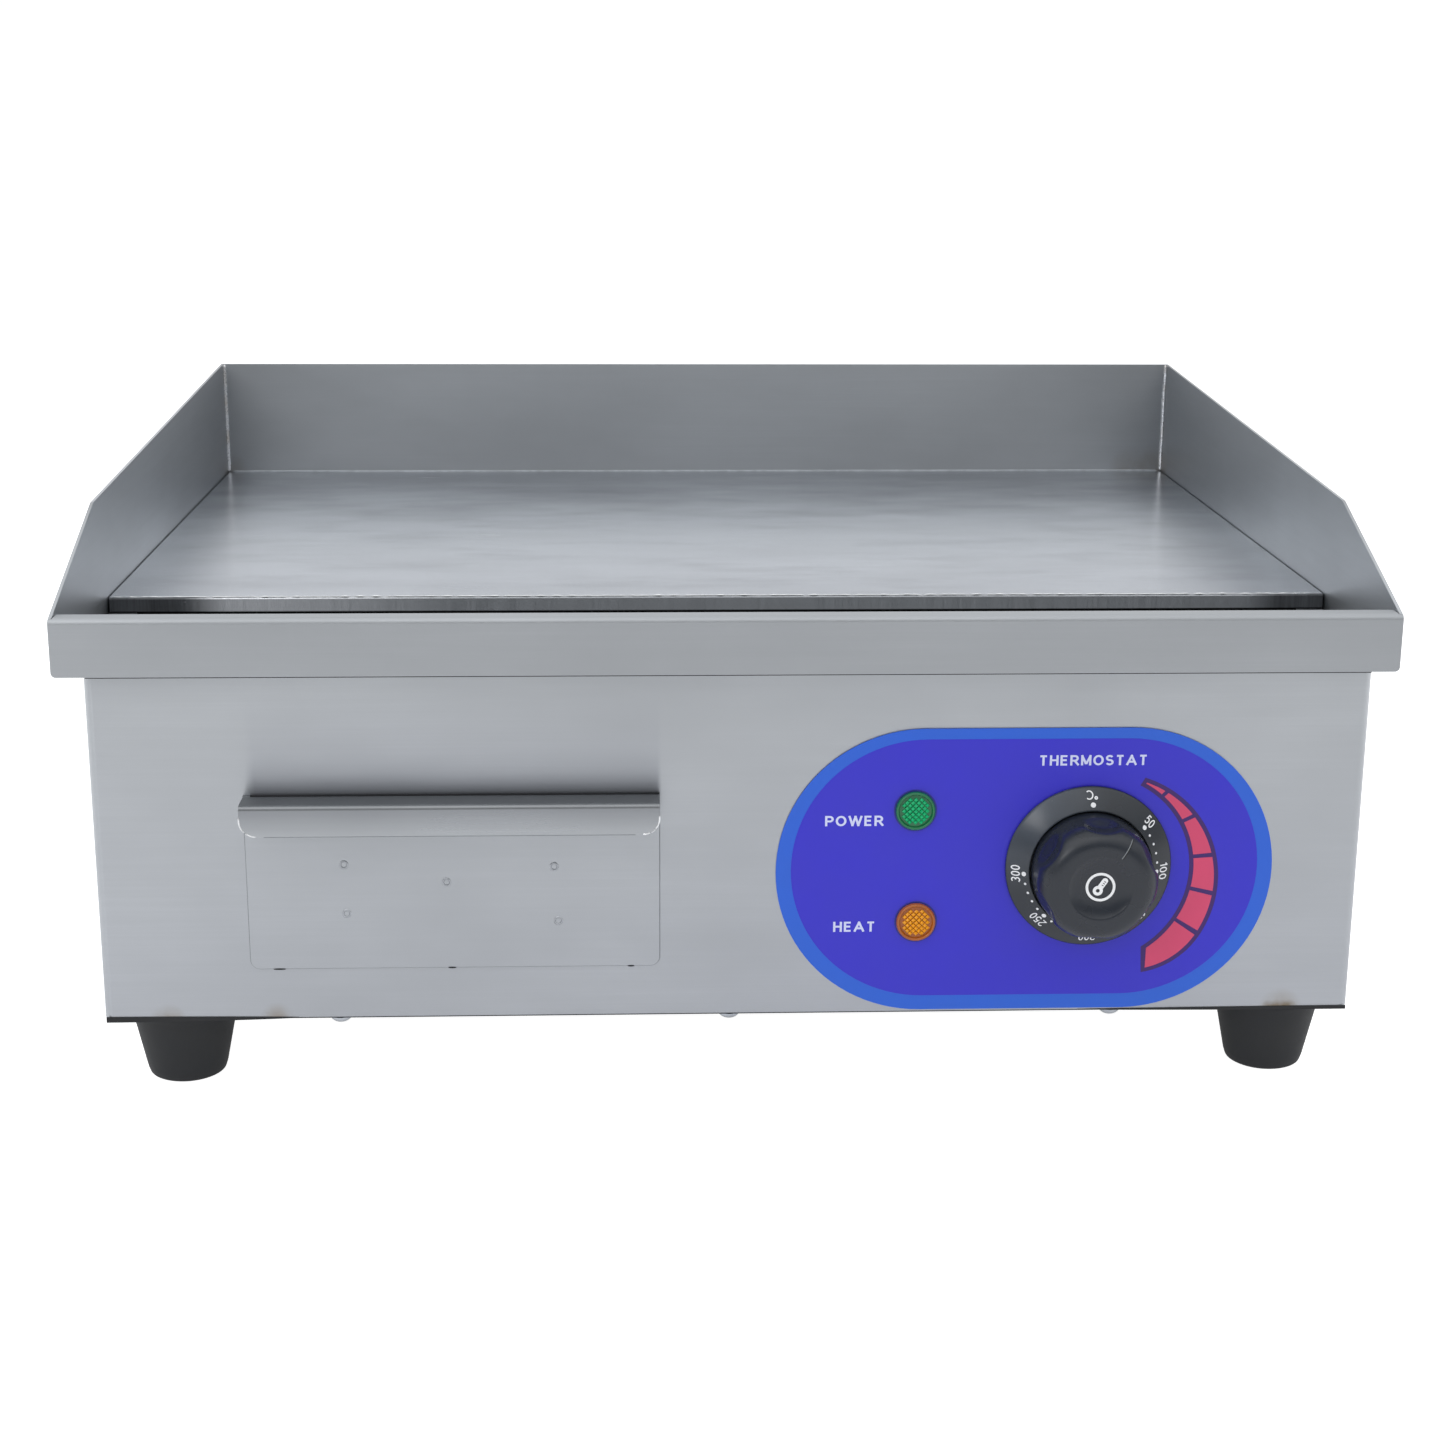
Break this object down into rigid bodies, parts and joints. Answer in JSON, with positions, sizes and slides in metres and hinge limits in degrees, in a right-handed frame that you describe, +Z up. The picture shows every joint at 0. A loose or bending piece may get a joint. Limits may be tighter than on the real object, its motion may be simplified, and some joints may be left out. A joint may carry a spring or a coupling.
{
  "type": "flat top griddle",
  "caption": "Countertop electric griddle: flat steel plate in a splash frame, front grease trough and drawer, thermostat dial, pilot lamps and rubber feet.",
  "frame": {"origin": "middle of the bounding box, on the surface the feet stand on", "axes": "+X to the right seen from the front, +Y to the back, +Z up; the control panel faces -Y"},
  "size_m": [0.55, 0.484, 0.259],
  "materials": {
    "body_steel": "horizontally brushed",
    "frame_steel": "brushed",
    "plate_steel": "ground",
    "zinc": "zinc plated",
    "galvanised": "galvanised",
    "rubber": "matte",
    "black_plastic": "satin",
    "label_film": "printed film",
    "green_lens": "translucent",
    "amber_lens": "translucent",
    "white_plastic": "moulded",
    "element_sheath": "oxidised",
    "copper": "drawn",
    "ceramic_fibre": "felted",
    "wire_sleeve": "silicone"
  },
  "bodies": {
    "chassis": {"left_splash_wall": "frame_steel", "right_splash_wall": "frame_steel", "rear_splash_wall": "frame_steel", "front_apron": "frame_steel", "griddle_plate": "plate_steel", "grease_trough": "frame_steel", "drain_spout": "frame_steel", "body_shell": "body_steel", "rear_panel": "body_steel", "base_plate": "galvanised", "foot_front_left": "rubber", "foot_front_right": "rubber", "foot_rear_left": "rubber", "foot_rear_right": "rubber", "foot_screw_front_left": "zinc", "foot_screw_front_right": "zinc", "foot_screw_rear_left": "zinc", "foot_screw_rear_right": "zinc", "base_screw_front_left": "zinc", "base_screw_front_middle": "zinc", "base_screw_front_right": "zinc", "base_screw_rear_left": "zinc", "base_screw_rear_right": "zinc", "rear_panel_screw_lower_left": "zinc", "rear_panel_screw_lower_right": "zinc", "rear_panel_screw_upper_left": "zinc", "rear_panel_screw_upper_right": "zinc", "drawer_rail_left": "galvanised", "drawer_rail_right": "galvanised", "control_label": "label_film", "dial_ring": "black_plastic", "thermostat_body": "galvanised", "dial_screw_left": "zinc", "dial_screw_right": "zinc", "lamp_lens_power": "green_lens", "lamp_lens_heat": "amber_lens", "lamp_holder_power": "white_plastic", "lamp_holder_heat": "white_plastic", "heating_element_left": "element_sheath", "heating_element_right": "element_sheath", "clamp_bar_front": "zinc", "clamp_bar_rear": "zinc", "clamp_nut_front_left": "zinc", "clamp_nut_front_right": "zinc", "clamp_nut_rear_left": "zinc", "clamp_nut_rear_right": "zinc", "heat_shield": "galvanised", "insulation_blanket": "ceramic_fibre", "sensing_bulb": "copper", "capillary_tube": "copper", "terminal_block": "white_plastic", "cable_gland": "black_plastic", "gland_nut": "black_plastic", "wire_supply": "wire_sleeve", "wire_heater": "wire_sleeve"},
    "drawer": {"drawer_front": "body_steel", "drawer_tray": "body_steel"},
    "knob": {"control_knob": "black_plastic", "thermostat_shaft": "zinc"}
  },
  "joints": [
    {"name": "drawer_slide", "type": "slide", "parent": "chassis", "child": "drawer", "axis": [0, -1, 0], "range_m": [0, 0.22]},
    {"name": "knob_turn", "type": "hinge", "parent": "chassis", "child": "knob", "pos_m": [0.1512, -0.23, 0.1005], "axis": [0, 1, 0], "range_deg": [-33, 232]}
  ]
}
